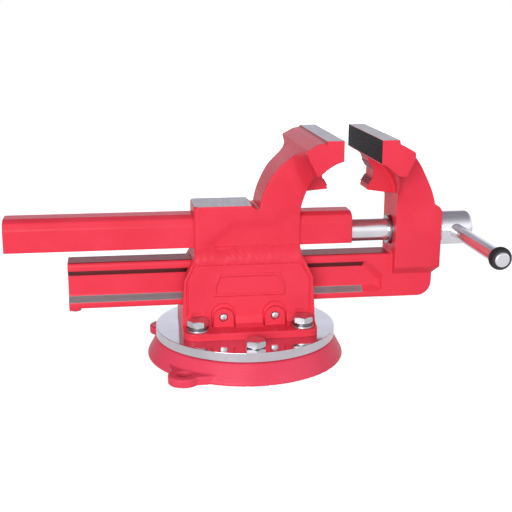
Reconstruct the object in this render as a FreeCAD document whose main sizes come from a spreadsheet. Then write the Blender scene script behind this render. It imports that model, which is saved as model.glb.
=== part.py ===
import FreeCAD, Part
import os
import Sketcher

# Bench vise on a swivel base, jaw width 125 mm, millimetres, +Z up.
# The origin is the centre of the base's underside, on the swivel axis.  The spindle runs along X,
# its handle end at +X, and the jaws are as wide as they are along Y.

DIMENSIONS = {
    # Swivel base, lugs and plate
    "base_radius": 94.9, "base_rim": 2.0, "base_top_radius": 86.0, "base_top": 18.6,
    "base_seat_radius": 83.0, "base_seat": 19.5, "base_bore": 75.0, "base_flange_low": 12.0,
    "cavity_low_radius": 88.0, "cavity_top_radius": 80.5,
    "lug_radius": 14.5, "lug_root": 26.0, "lug_start": 89.0, "lug_height": 8.0, "lug_reach": 100.5, "lug_hole": 6.25,
    "plate_radius": 86.6, "plate_low": 19.8, "plate_top": 28.5,
    "spigot_radius": 74.9, "spigot_bore": 50.0, "spigot_low": 14.0,
    # Clamp shoes and their bolts
    "lock_reach": 69.0, "shoe_half": 12.0, "shoe_in": 60.0, "shoe_shoulder": 73.5,
    "shoe_out": 79.0, "shoe_low": 5.5, "shoe_lip": 11.6, "shoe_top": 19.0,
    "bolt_radius": 5.0, "bolt_bore": 5.08, "hex_across": 17.0, "hex_height": 6.4,
    "lock_head_low": 28.8, "lock_tip": 5.0,
    # Foot of the guide housing and its bolts
    "foot_half_x": 63.0, "foot_half_y": 50.0, "foot_top": 35.5, "foot_corner": 10.0,
    "foot_bolt_x": 49.5, "foot_bolt_y": 38.0, "foot_bolt_tip": 15.0,
    "flat_washer": 1.8, "flat_washer_radius": 10.5, "spring_washer": 2.2,
    "spring_washer_radius": 9.2,
    # Guide housing
    "housing_half_y": 28.0, "housing_skin": 28.0, "housing_top": 103.0,
    "housing_shoulder": 95.0, "housing_neck_y": 22.0,
    "housing_bend_x": 61.0, "housing_bend_z": 80.0, "housing_top_x": 50.0,
    "panel_bend_x": 57.3, "panel_bend_z": 78.6, "panel_top_x": 49.0, "panel_top_z": 96.0,
    "panel_low": 46.0, "panel_groove": 1.6, "panel_depth": 1.5,
    "housing_fillet": 9.0,
    "pin_x": 24.5, "pin_z": 44.4, "pin_radius": 4.0, "pin_half": 31.5,
    "tab_half": 9.6, "tab_face": 31.0, "tab_top": 53.4, "spot_face": 11.3,
    "arch_half": 11.3, "arch_floor": 26.9, "arch_top": 57.8,
    "badge_half_x": 33.5, "badge_top_x": 28.8, "badge_low": 64.8, "badge_mid": 75.0,
    "badge_top": 86.0, "badge_rim": 2.4, "badge_proud": 1.3,
    # Guide rail, running under the jaws
    "rail_half": 14.5, "rail_web": 8.5, "rail_top": 97.2, "rail_low": 53.4, "rail_round": 3.0,
    "rail_root": 3.0, "rail_end": -167.3, "groove_top": 90.0, "groove_low": 59.0, "groove_end": 134.5,
    "groove_slope_x": 117.0, "groove_slope_z": 75.0, "slide_gap": 0.3,
    "gib_half": 11.0, "gib_low": 49.0, "gib_half_x": 58.0,
    "stop_low": 50.8, "stop_length": 11.0, "stop_ramp": 2.0, "stop_half": 12.0,
    "stop_screw": 3.0,
    # Fixed jaw forging with its anvil
    "neck_half": 22.0, "jaw_width": 125.0, "jaw_top": 213.2, "fixed_face": 79.7,
    "movable_face": 113.7, "strip_depth": 16.0, "grip_low": 194.6, "anvil_low_x": -50.8, "anvil_end_x": 3.0,
    "anvil_top": 148.8, "neck_front": 49.5, "neck_back": 10.6, "forging_low": 103.0,
    "notch_depth": 3.4,
    "pipe_half": 14.0, "flare_power": 2.2, "recess_depth": 1.8,
    "bead_top": 110.5,
    # Spindle guard: an inverted channel open underneath
    "guard_low_x": -223.4, "guard_high_x": 100.5, "guard_half": 18.0, "guard_low": 109.4,
    "guard_top": 139.5, "guard_round": 9.0, "guard_wall": 5.5, "guard_cap": 4.0,
    # Movable jaw body
    "body_in": 142.0, "body_back": 179.0, "boss_out": 187.3, "boss_low": 84.2,
    "boss_top": 139.0, "block_out": 182.0, "block_round": 14.0, "chamfer_low": 76.7,
    # Spindle, its nut, bush and rings
    "axis_z": 117.9, "shank": 10.75, "thread_low_x": -183.0, "thread_high_x": 28.0,
    "head_radius": 16.5, "head_low_x": 189.0, "head_high_x": 222.0,
    "handle_x": 204.9, "handle_hole": 6.85, "running_gap": 0.08,
    "nut_low_x": -46.0, "nut_high_x": -6.0, "nut_low": 104.0,
    "bush_radius": 14.0, "bush_flange": 14.8, "bush_length": 24.0, "bush_lip": 0.8,
    "ring_radius": 14.0, "ring_width": 2.5, "ring_groove": 9.6,
    "washer_radius": 17.5, "washer_width": 1.4,
    # Handle bar and its rubber end rings
    "bar_radius": 6.75, "bar_half": 125.0, "bar_mid_y": -3.4, "grip_radius": 10.2,
    "grip_length": 9.0, "grip_inset": 2.0,
}
LUG_ANGLES = {"front": 229, "rear": 139, "right": 49}

doc = FreeCAD.newDocument("bench_vise")
dim = doc.addObject("Spreadsheet::Sheet", "dim")
for row, (alias, value) in enumerate(DIMENSIONS.items(), start=1):
    dim.set(f"A{row}", alias)
    dim.set(f"B{row}", str(value))
    dim.setAlias(f"B{row}", alias)
doc.recompute()

X_AXIS = FreeCAD.Vector(1, 0, 0)
Y_AXIS = FreeCAD.Vector(0, 1, 0)
Z_AXIS = FreeCAD.Vector(0, 0, 1)
ALONG = {
    "X": FreeCAD.Rotation(Y_AXIS, 90),
    "Y": FreeCAD.Rotation(X_AXIS, -90),
    "Z": FreeCAD.Rotation(),
}
# A sketch's own X and Y turned onto two axes of the vise.
PLANES = {
    "XY": FreeCAD.Rotation(),
    "XZ": FreeCAD.Rotation(X_AXIS, 90),
    "YZ": FreeCAD.Rotation(FreeCAD.Vector(1, 1, 1), 120),
}
pieces = {}


def size(expression):
    """Value of an expression written over the sheet's aliases."""
    return float(dim.evalExpression(expression))


def bind(obj, **expressions):
    for name, expression in expressions.items():
        obj.setExpression(name.replace("_", "."), expression)


def place(obj, at, rotation=None):
    """Put an object at three expressions, turned by a fixed rotation."""
    if rotation is not None:
        obj.Placement = FreeCAD.Placement(FreeCAD.Vector(), rotation)
    bind(obj, Placement_Base_x=at[0], Placement_Base_y=at[1], Placement_Base_z=at[2])
    return obj


def block(name, x, y, z):
    """Box between pairs of expressions along X, Y and Z."""
    obj = doc.addObject("Part::Box", name)
    bind(obj, Length=f"({x[1]}) - ({x[0]})", Width=f"({y[1]}) - ({y[0]})",
         Height=f"({z[1]}) - ({z[0]})")
    return place(obj, (x[0], y[0], z[0]))


def rod(name, radius, at, length, along="Z"):
    """Cylinder from a point, growing along one axis."""
    obj = doc.addObject("Part::Cylinder", name)
    bind(obj, Radius=radius, Height=length)
    return place(obj, at, ALONG[along])


def cone(name, low_radius, top_radius, low, top):
    obj = doc.addObject("Part::Cone", name)
    bind(obj, Radius1=low_radius, Radius2=top_radius, Height=f"({top}) - ({low})")
    return place(obj, ("0", "0", low))


def hexagon(name, at, height, turn=30):
    """Hexagonal prism across flats hex_across; a turn of 30 points a corner at -Y."""
    obj = doc.addObject("Part::Prism", name)
    obj.Polygon = 6
    bind(obj, Circumradius="dim.hex_across / sqrt(3)", Height=height)
    return place(obj, at, FreeCAD.Rotation(Z_AXIS, turn))


def fuse(name, *shapes):
    obj = doc.addObject("Part::MultiFuse", name)
    obj.Shapes = list(shapes)
    obj.Refine = True
    return obj


def cut(name, base, *tools):
    tool = tools[0]
    if len(tools) > 1:
        tool = doc.addObject("Part::MultiFuse", f"{name}_tools")
        tool.Shapes = list(tools)
    obj = doc.addObject("Part::Cut", name)
    obj.Base = base
    obj.Tool = tool
    obj.Refine = True
    return obj


def common(name, first, second):
    obj = doc.addObject("Part::MultiCommon", name)
    obj.Shapes = [first, second]
    obj.Refine = True
    return obj


def outline(name, plane, corners, offset="0"):
    """Closed sketch whose corners are pairs of expressions, each one held by two dimensions."""
    sketch = doc.addObject("Sketcher::SketchObject", name)
    points = [FreeCAD.Vector(size(u), size(v), 0) for u, v in corners]
    count = len(points)
    for i in range(count):
        sketch.addGeometry(Part.LineSegment(points[i], points[(i + 1) % count]))
    for i in range(count):
        sketch.addConstraint(Sketcher.Constraint("Coincident", i, 2, (i + 1) % count, 1))
    for i, (u, v) in enumerate(corners):
        for kind, expression, value in (("DistanceX", u, points[i].x),
                                        ("DistanceY", v, points[i].y)):
            if abs(value) < 1e-9:
                axis = -2 if kind == "DistanceX" else -1
                sketch.addConstraint(Sketcher.Constraint("PointOnObject", i, 1, axis))
                continue
            index = sketch.addConstraint(Sketcher.Constraint(kind, -1, 1, i, 1, value))
            sketch.setExpression(f"Constraints[{index}]", expression)
    across = {"XY": "z", "XZ": "y", "YZ": "x"}[plane]
    sketch.Placement = FreeCAD.Placement(FreeCAD.Vector(), PLANES[plane])
    sketch.setExpression(f"Placement.Base.{across}", offset)
    return sketch


def extrude(name, plane, corners, length, offset="0", symmetric=True):
    """Solid swept from an outline, both ways from its plane or one way along its axis."""
    obj = doc.addObject("Part::Extrusion", name)
    obj.Base = outline(f"{name}_outline", plane, corners, offset)
    obj.DirMode = "Custom"
    obj.Dir = {"XY": Z_AXIS, "XZ": Y_AXIS, "YZ": X_AXIS}[plane]
    obj.Solid = True
    obj.Symmetric = symmetric
    bind(obj, LengthFwd=length)
    return obj


def soften(name, base, kind, radius, chosen):
    """Round or chamfer the edges of base that the test picks."""
    doc.recompute()
    obj = doc.addObject(f"Part::{kind}", name)
    obj.Base = base
    value = size(radius)
    obj.Edges = [(i, value, value) for i, edge in enumerate(base.Shape.Edges, start=1)
                 if chosen(edge)]
    return obj


def upright(edge):
    """True for a straight edge along Z."""
    ends = [vertex.Point for vertex in edge.Vertexes]
    return (len(ends) == 2 and abs(ends[0].x - ends[1].x) < 1e-6
            and abs(ends[0].y - ends[1].y) < 1e-6)


def piece(label, obj):
    obj.Label = label
    pieces[label] = obj
    return obj


def mirrored(points):
    """Right half of an outline, low to high, closed with its mirror image in the second axis."""
    return points + [(f"-({u})", v) for u, v in reversed(points)]


# --- Swivel base: a conical ring with three bolt lugs -------------------------------------------
skirt = fuse(
    "skirt",
    rod("skirt_rim", "dim.base_radius", ("0", "0", "0"), "dim.base_rim"),
    cone("skirt_cone", "dim.base_radius", "dim.base_top_radius", "dim.base_rim", "dim.base_top"),
    rod("skirt_seat", "dim.base_seat_radius", ("0", "0", "dim.base_flange_low"),
        "dim.base_seat - dim.base_flange_low"))
lugs = []
lug_holes = []
for side, angle in LUG_ANGLES.items():
    toward = (f"dim.lug_reach * cos({angle})", f"dim.lug_reach * sin({angle})")
    arm = extrude(f"lug_arm_{side}", "XY", [
        (f"{along} * cos({angle}) - {across} * sin({angle})",
         f"{along} * sin({angle}) + {across} * cos({angle})")
        for along, across in (
            ("dim.base_bore", "-dim.lug_root"), ("dim.lug_start", "-dim.lug_root"),
            ("dim.lug_reach", "-dim.lug_radius"), ("dim.lug_reach", "dim.lug_radius"),
            ("dim.lug_start", "dim.lug_root"), ("dim.base_bore", "dim.lug_root"))],
        "dim.lug_height", symmetric=False)
    lugs += [arm, rod(f"lug_eye_{side}", "dim.lug_radius", (*toward, "0"), "dim.lug_height")]
    lug_holes.append(rod(f"lug_hole_{side}", "dim.lug_hole", (*toward, "-1"), "40"))
piece("swivel_base", cut(
    "base_finished", fuse("base_solid", skirt, *lugs),
    cone("base_cavity", "dim.cavity_low_radius", "dim.cavity_top_radius", "0",
         "dim.base_flange_low"),
    rod("base_bore_tool", "dim.base_bore", ("0", "0", "-1"), "40"), *lug_holes))

# --- Swivel plate: bright disc with a spigot that turns in the base's bore ----------------------
plate_blank = fuse(
    "plate_blank",
    rod("plate_disc", "dim.plate_radius", ("0", "0", "dim.plate_low"),
        "dim.plate_top - dim.plate_low"),
    rod("plate_spigot", "dim.spigot_radius", ("0", "0", "dim.spigot_low"),
        "dim.plate_low - dim.spigot_low"))
plate_tools = [rod("spigot_bore_tool", "dim.spigot_bore", ("0", "0", "0"), "dim.plate_low")]
for side, sign in (("front", "-1"), ("rear", "1")):
    plate_tools.append(rod(f"lock_hole_{side}", "dim.bolt_bore",
                           ("0", f"{sign} * dim.lock_reach", "0"), "60"))
    plate_tools.append(block(
        f"shoe_window_{side}", ("-dim.shoe_half", "dim.shoe_half"),
        (f"{sign} * 67.5 - 14.5", f"{sign} * 67.5 + 14.5"), ("0", "dim.plate_low")))
FOOT_BOLTS = {"front_left": ("-1", "-1"), "front_right": ("1", "-1"),
              "rear_left": ("-1", "1"), "rear_right": ("1", "1")}
for corner, (sx, sy) in FOOT_BOLTS.items():
    plate_tools.append(rod(f"plate_hole_{corner}", "dim.bolt_radius",
                           (f"{sx} * dim.foot_bolt_x", f"{sy} * dim.foot_bolt_y", "0"), "60"))
piece("swivel_plate", cut("plate_finished", plate_blank, *plate_tools))

# --- Clamp shoes: they hook under the base's flange; each hangs in a window of the spigot -------
for side, sign in (("front", -1), ("rear", 1)):
    near, shoulder, far = (f"{sign} * dim.{alias}"
                           for alias in ("shoe_in", "shoe_shoulder", "shoe_out"))
    hook = extrude(f"shoe_hook_{side}", "YZ",
                   [(near, "dim.shoe_low"), (far, "dim.shoe_low"), (far, "dim.shoe_lip"),
                    (shoulder, "dim.shoe_lip"), (shoulder, "dim.shoe_top"),
                    (near, "dim.shoe_top")], "2 * dim.shoe_half")
    piece(f"clamp_shoe_{side}", cut(
        f"shoe_{side}", hook,
        rod(f"shoe_hole_{side}", "dim.bolt_bore", ("0", f"{sign} * dim.lock_reach", "0"), "60")))
    at = ("0", f"{sign} * dim.lock_reach")
    piece(f"lock_bolt_{side}", fuse(
        f"lock_{side}",
        rod(f"lock_shank_{side}", "dim.bolt_radius", (*at, "dim.lock_tip"),
            "dim.lock_head_low - dim.lock_tip"),
        hexagon(f"lock_head_{side}", (*at, "dim.lock_head_low"), "dim.hex_height")))

# --- Guide housing: foot, tall side walls and the square way for the rail -----------------------
foot = soften(
    "foot", block("foot_blank", ("-dim.foot_half_x", "dim.foot_half_x"),
                  ("-dim.foot_half_y", "dim.foot_half_y"), ("dim.plate_top", "dim.foot_top")),
    "Fillet", "dim.foot_corner", upright)
wall_profile = mirrored([
    ("dim.foot_half_x", "dim.plate_top"), ("dim.foot_half_x", "dim.foot_top + 14"),
    ("dim.housing_bend_x", "dim.housing_bend_z"), ("dim.housing_top_x", "dim.housing_top")])
side_view = extrude("housing_side_view", "XZ", wall_profile, "2 * dim.housing_half_y")
fillet_y = "dim.housing_skin + dim.housing_fillet"
end_view = extrude("housing_end_view", "YZ", mirrored([
    (fillet_y, "dim.plate_top"), (fillet_y, "dim.foot_top"),
    ("dim.housing_skin + dim.housing_fillet * 0.29", "dim.foot_top + dim.housing_fillet * 0.29"),
    ("dim.housing_skin", "dim.foot_top + dim.housing_fillet"),
    ("dim.housing_skin", "dim.housing_shoulder"), ("dim.housing_neck_y", "dim.housing_top")]),
    "2 * dim.foot_half_x")
fillet_band = extrude("housing_fillet_band", "XZ", mirrored([
    ("dim.foot_half_x", "dim.plate_top"), ("dim.foot_half_x", "dim.foot_top + 14")]),
    "2 * dim.foot_half_y")
walls = common("walls", end_view, fuse("walls_side", side_view, fillet_band))
# A narrow groove on each side wall parts its plain field from the rim along the wall's edge.
panel_grooves = cut(
    "panel_grooves",
    extrude("panel_outer", "XZ", mirrored([
        ("dim.panel_bend_x + dim.panel_groove", "dim.panel_low"),
        ("dim.panel_bend_x + dim.panel_groove", "dim.panel_bend_z + 0.3"),
        ("dim.panel_top_x + dim.panel_groove", "dim.panel_top_z")]),
        "2 * dim.housing_half_y + 2"),
    extrude("panel_field", "XZ", mirrored([
        ("dim.panel_bend_x", "dim.panel_low - 1"), ("dim.panel_bend_x", "dim.panel_bend_z"),
        ("dim.panel_top_x", "dim.panel_top_z - dim.panel_groove")]),
        "2 * dim.housing_half_y + 4"),
    block("panel_core", ("-80", "80"),
          ("-dim.housing_half_y + dim.panel_depth", "dim.housing_half_y - dim.panel_depth"),
          ("30", "110")))
badge_outer = extrude("badge_outer", "XZ", mirrored([
    ("dim.badge_half_x", "dim.badge_low"), ("dim.badge_half_x", "dim.badge_mid"),
    ("dim.badge_top_x", "dim.badge_top")]), "2 * (dim.housing_half_y + dim.badge_proud)")
badge_inner = extrude("badge_inner", "XZ", mirrored([
    ("dim.badge_half_x - dim.badge_rim", "dim.badge_low + dim.badge_rim"),
    ("dim.badge_half_x - dim.badge_rim", "dim.badge_mid - 0.4"),
    ("dim.badge_top_x - dim.badge_rim * 0.8", "dim.badge_top - dim.badge_rim")]),
    "2 * (dim.housing_half_y + dim.badge_proud) + 2")
badge = cut("badge", badge_outer, badge_inner)
# Arched pockets around the cross pins, each with a raised tab that the pin's end shows in.
pockets = []
tabs = []
for side, sign in (("left", "-1"), ("right", "1")):
    pin = f"{sign} * dim.pin_x"
    for face, start in (("front", "-dim.foot_half_y"), ("rear", "dim.arch_floor")):
        reach = "dim.foot_half_y - dim.arch_floor"
        spring = "dim.arch_top - dim.arch_half"
        pockets += [
            rod(f"pocket_arch_{side}_{face}", "dim.arch_half", (pin, start, spring), reach, "Y"),
            block(f"pocket_leg_{side}_{face}",
                  (f"{pin} - dim.arch_half", f"{pin} + dim.arch_half"),
                  (start, f"{start} + {reach}"), ("dim.foot_top", spring))]
    spring = "dim.tab_top - dim.tab_half"
    tabs += [
        rod(f"tab_arch_{side}", "dim.tab_half", (pin, "-dim.tab_face", spring),
            "2 * dim.tab_face", "Y"),
        block(f"tab_leg_{side}", (f"{pin} - dim.tab_half", f"{pin} + dim.tab_half"),
              ("-dim.tab_face", "dim.tab_face"), ("dim.foot_top - 1", spring))]
walls_pocketed = cut("walls_pocketed", fuse("walls_badged", walls, badge), panel_grooves,
                     *pockets)
housing_solid = fuse("housing_solid", foot, walls_pocketed, *tabs)
rail_way = block("rail_way", ("-90", "90"),
                 ("-dim.rail_half - dim.slide_gap", "dim.rail_half + dim.slide_gap"),
                 ("dim.rail_low - dim.slide_gap", "dim.rail_top + dim.slide_gap"))
gib_pocket = block("gib_pocket", ("-dim.gib_half_x", "dim.gib_half_x"),
                   ("-dim.gib_half", "dim.gib_half"), ("dim.gib_low", "dim.rail_low"))
housing_tools = [rail_way, gib_pocket]
for side, sign in (("left", "-1"), ("right", "1")):
    housing_tools.append(rod(f"pin_hole_{side}", "dim.pin_radius",
                             (f"{sign} * dim.pin_x", "-60", "dim.pin_z"), "120", "Y"))
for corner, (sx, sy) in FOOT_BOLTS.items():
    at = (f"{sx} * dim.foot_bolt_x", f"{sy} * dim.foot_bolt_y")
    housing_tools.append(rod(f"foot_hole_{corner}", "dim.bolt_radius", (*at, "0"), "40"))
    housing_tools.append(rod(f"spot_face_{corner}", "dim.spot_face", (*at, "dim.foot_top"),
                             "dim.flat_washer + dim.spring_washer + dim.hex_height + 3"))
piece("guide_housing", cut("housing_finished", housing_solid, *housing_tools))

for side, sign in (("left", "-1"), ("right", "1")):
    piece(f"cross_pin_{side}", rod(
        f"cross_pin_solid_{side}", "dim.pin_radius",
        (f"{sign} * dim.pin_x", "-dim.pin_half", "dim.pin_z"), "2 * dim.pin_half", "Y"))
piece("gib_strip", block(
    "gib", ("-dim.gib_half_x", "dim.gib_half_x"), ("-dim.gib_half", "dim.gib_half"),
    ("dim.gib_low", "dim.rail_low - dim.slide_gap")))

# --- Foot bolts with a flat washer and a spring washer under each head --------------------------
for corner, (sx, sy) in FOOT_BOLTS.items():
    at = (f"{sx} * dim.foot_bolt_x", f"{sy} * dim.foot_bolt_y")
    flat_low = "dim.foot_top"
    spring_low = "dim.foot_top + dim.flat_washer"
    head_low = "dim.foot_top + dim.flat_washer + dim.spring_washer"
    piece(f"flat_washer_{corner}", cut(
        f"flat_{corner}",
        rod(f"flat_disc_{corner}", "dim.flat_washer_radius", (*at, flat_low), "dim.flat_washer"),
        rod(f"flat_eye_{corner}", "dim.bolt_radius", (*at, "0"), "80")))
    piece(f"spring_washer_{corner}", cut(
        f"spring_{corner}",
        rod(f"spring_disc_{corner}", "dim.spring_washer_radius", (*at, spring_low),
            "dim.spring_washer"),
        rod(f"spring_eye_{corner}", "dim.bolt_radius", (*at, "0"), "80")))
    piece(f"foot_bolt_{corner}", fuse(
        f"bolt_{corner}",
        rod(f"bolt_shank_{corner}", "dim.bolt_radius", (*at, "dim.foot_bolt_tip"),
            f"{head_low} - dim.foot_bolt_tip"),
        hexagon(f"bolt_head_{corner}", (*at, head_low), "dim.hex_height",
                0 if corner.endswith("left") else 30)))


# --- Forged jaws: a wing on each side flares out of the neck over a concave scoop ---------------
def spline(points):
    curve = Part.BSplineCurve()
    curve.interpolate(points)
    return curve


# The crease lies this far down the back just beside the neck, and falls to the jaw's own share at
# the wing's end; on the neck itself the back is whole.
CREASE_BESIDE_NECK = 0.19
CREASE_FALL = 1.8
NECK_FALL = 20
BACK_STEPS = 6
# Points of the scoop between its ends: share of the way down, share of the jaw's swell.
SCOOP_POINTS = ((0.2, 1.0), (0.5, 0.8))
# Stations from the neck to the wing's end, close together where the flare begins.
WING_STATIONS = (0, 0.015, 0.03, 0.05, 0.08, 0.12, 0.17, 0.23, 0.3, 0.38, 0.48, 0.6, 0.78, 1)


def wing_section(jaw, along, y):
    """Closed wire at one station; along is 0 on the neck and 1 at the wing's end.

    The back keeps the neck's own profile down to a crease.  The scoop runs almost straight from
    the crease to the lower corner of the front, which climbs from the neck's to the wing's.
    """
    share = (1 - along) ** size("dim.flare_power")
    crease = (jaw["crease"] + CREASE_BESIDE_NECK * (1 - along) ** CREASE_FALL
              + (1 - CREASE_BESIDE_NECK - jaw["crease"]) * (1 - along) ** NECK_FALL)
    top_edge = [FreeCAD.Vector(x, y, z) for x, z in jaw["top"]]
    back = spline([FreeCAD.Vector(x, y, z) for x, z in jaw["back"]])
    reach = back.LastParameter - back.FirstParameter
    kept = spline([back.value(back.FirstParameter + reach * crease * k / BACK_STEPS)
                   for k in range(BACK_STEPS + 1)])
    front = [FreeCAD.Vector(t[0] + (r[0] - t[0]) * share, y, t[1] + (r[1] - t[1]) * share)
             for r, t in zip(jaw["root"], jaw["tip"])]
    corner, low = kept.EndPoint, front[0]
    swell = Y_AXIS.cross(low - corner).normalize() * jaw["swell"] * (1 - share)
    scoop = spline([corner] + [corner + (low - corner) * down + swell * part
                               for down, part in SCOOP_POINTS] + [low])
    lines = list(zip(top_edge, top_edge[1:]))
    edges = [Part.LineSegment(a, b).toShape() for a, b in lines] + [kept.toShape()]
    edges += [scoop.toShape(), spline(front).toShape()]
    edges.append(Part.LineSegment(front[-1], top_edge[0]).toShape())
    return Part.Wire(edges)


def forged_jaw(name, jaw):
    """Both wings lofted through the same stations and the neck's own width between them."""
    half = size("dim.jaw_width / 2")
    neck = size("dim.neck_half")
    solids = []
    for sign in (-1, 1):
        wires = [wing_section(jaw, s, sign * (neck + (half - neck) * s))
                 for s in WING_STATIONS]
        solids.append(Part.makeLoft(wires, True, True))
    middle = Part.Face(wing_section(jaw, 0, -neck))
    solids.append(middle.extrude(FreeCAD.Vector(0, 2 * neck, 0)))
    obj = doc.addObject("Part::Feature", name)
    obj.Shape = solids[2].fuse(solids[:2]).removeSplitter()
    obj.Placement = FreeCAD.Placement()
    return obj


top = size("dim.jaw_top")
fixed_face = size("dim.fixed_face")
anvil = size("dim.anvil_top")
grip_low = size("dim.grip_low")
fixed_wings = forged_jaw("fixed_wings", {
    "top": [(fixed_face, top), (64, top), (63, top - 1.6), (56.7, top - 2.8), (46.2, 204.8)],
    "back": [(46.2, 204.8), (38, 193.5), (27, 183.5), (17, 167.5), (12.5, 156),
             (size("dim.neck_back"), anvil - 3)],
    "root": [(size("dim.neck_front"), anvil - 3), (50, 151), (53, 163), (60, 177), (69, 188),
             (fixed_face, grip_low)],
    "tip": [(55.2, 182.3), (56.6, 181.6), (59.6, 183.1), (64, 186.8), (70.6, 191.2),
            (fixed_face, grip_low)],
    "crease": 0.015, "swell": 0.7})

movable_face = size("dim.movable_face")
movable_low = 191.8  # lower edge of the movable jaw's face
body_in = size("dim.body_in")
movable_wings = forged_jaw("movable_wings", {
    "top": [(movable_face, top), (130, top), (130.6, top - 3.6), (136.5, 206.7),
            (143.5, 202.8)],
    "back": [(143.5, 202.8), (152, 196.5), (160, 188.5), (166, 179), (171, 169.5),
             (175.5, 160), (179, 148)],
    "root": [(body_in, 148), (body_in, 151), (body_in, 158), (135, 176), (125, 187),
             (movable_face, movable_low)],
    "tip": [(138.8, 181.4), (136, 179.9), (131.5, 180.6), (127, 183.2), (122.4, 187),
            (movable_face, movable_low)],
    "crease": 0.02, "swell": -2.0})

# --- Fixed jaw: anvil block, neck, wings and the serrated pipe jaw ------------------------------
anvil_block = soften(
    "anvil_block", block("anvil_blank", ("dim.anvil_low_x", "dim.neck_front"),
                         ("-dim.neck_half", "dim.neck_half"),
                         ("dim.forging_low", "dim.anvil_top")),
    "Fillet", "4", lambda edge: upright(edge) and edge.CenterOfMass.x < 0)
anvil_eased = soften(
    "anvil_eased", anvil_block, "Chamfer", "1.2",
    lambda edge: abs(edge.CenterOfMass.z - anvil) < 1e-6 and edge.CenterOfMass.x < 40)
notch_floor = "dim.anvil_top - dim.notch_depth"
neck_groove = extrude("neck_groove", "XZ", [
    ("dim.anvil_end_x", "dim.anvil_top"), ("dim.anvil_end_x + 4", notch_floor),
    ("dim.neck_back", notch_floor), ("dim.neck_back", "dim.anvil_top + 5"),
    ("dim.anvil_end_x", "dim.anvil_top + 5")], "80")
fixed_pipe = extrude("fixed_pipe", "XZ", [
    ("dim.neck_front - 5", "158.5"), ("54.8", "159.8"), ("75.8", "161.6"), ("75.4", "164.4"),
    ("70.8", "172"), ("71", "178"), ("76.4", "188"), ("dim.fixed_face", "dim.grip_low"),
    ("dim.neck_front - 5", "198")], "2 * dim.pipe_half")
# The lower part of each side lies back from the upper part, behind a long soft step.
recesses = []
for side, sign in (("front", -1), ("rear", 1)):
    mouth = outline(f"recess_mouth_{side}", "XZ", [
        ("dim.anvil_low_x + 7", "dim.bead_top"), ("-15", "135.8"), ("24", "136.5"),
        ("31", "145.5"), ("dim.neck_front + 10", "145.5"),
        ("dim.neck_front + 10", "dim.bead_top")], f"{sign} * (dim.neck_half + 0.02)")
    floor = outline(f"recess_floor_{side}", "XZ", [
        ("dim.anvil_low_x + 17", "dim.bead_top"), ("-15", "127"), ("30", "128"),
        ("40", "139"), ("dim.neck_front + 10", "139"),
        ("dim.neck_front + 10", "dim.bead_top")], f"{sign} * (dim.neck_half - dim.recess_depth)")
    recess = doc.addObject("Part::Loft", f"recess_{side}")
    recess.Sections = [mouth, floor]
    recess.Solid = True
    recess.Ruled = True
    recesses.append(recess)
guard_outer = mirrored([
    ("dim.guard_half", "dim.guard_low"), ("dim.guard_half", "dim.guard_top - dim.guard_round"),
    ("dim.guard_half - dim.guard_round * 0.293", "dim.guard_top - dim.guard_round * 0.293"),
    ("dim.guard_half - dim.guard_round", "dim.guard_top")])
guard_way = extrude("guard_way", "YZ", guard_outer, "400")
spindle_way = block("spindle_way", ("-60", "60"), ("-12.4", "12.4"),
                    ("dim.axis_z - 12.4", "dim.guard_low + 1"))
nut_key_way = block("nut_key_way", ("dim.nut_low_x", "dim.nut_high_x"), ("-10", "10"),
                    ("dim.nut_low", "dim.guard_low + 1"))
piece("fixed_jaw", cut(
    "fixed_jaw_finished",
    fuse("fixed_jaw_solid", cut("anvil_notched", anvil_eased, neck_groove), fixed_wings,
         fixed_pipe),
    guard_way, spindle_way, nut_key_way, *recesses))

# --- Weld beads between the forging and the housing's shoulders ---------------------------------
for side, sign in (("front", -1), ("rear", 1)):
    bead_profile = [(f"{sign} * {y}", z) for y, z in (
        ("dim.housing_skin", "dim.housing_shoulder"), ("28.2", "97"), ("27.8", "100.5"),
        ("26.4", "105"), ("24.2", "108.8"), ("dim.neck_half", "dim.bead_top"),
        ("dim.neck_half", "dim.housing_top"))]
    piece(f"weld_bead_{side}", extrude(f"bead_{side}", "YZ", bead_profile,
                                       "100", "-0.2"))

# --- Spindle guard and the nut held inside it ---------------------------------------------------
guard_inner = mirrored([
    ("dim.guard_half - dim.guard_wall", "dim.guard_low - 5"),
    ("dim.guard_half - dim.guard_wall", "dim.guard_top - dim.guard_round - 1.5"),
    ("dim.guard_half - dim.guard_wall - 4.5", "dim.guard_top - dim.guard_wall - 1.5")])
guard_mid = "(dim.guard_low_x + dim.guard_high_x) / 2"
guard_span = "dim.guard_high_x - dim.guard_low_x"
piece("spindle_guard", cut(
    "guard_finished", extrude("guard_blank", "YZ", guard_outer, guard_span, guard_mid),
    extrude("guard_hollow", "YZ", guard_inner, guard_span,
            f"{guard_mid} + dim.guard_cap")))
nut_half = "dim.guard_half - dim.guard_wall"
nut_blank = fuse(
    "nut_blank",
    block("nut_block", ("dim.nut_low_x", "dim.nut_high_x"), (f"-({nut_half})", nut_half),
          ("dim.guard_low", "dim.guard_top - dim.guard_round - 1.5")),
    block("nut_key", ("dim.nut_low_x", "dim.nut_high_x"), ("-10", "10"),
          ("dim.nut_low", "dim.guard_low")))
piece("spindle_nut", cut("nut_finished", nut_blank,
                         rod("nut_bore", "dim.shank + dim.running_gap",
                             ("-100", "0", "dim.axis_z"), "200", "X")))

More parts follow.
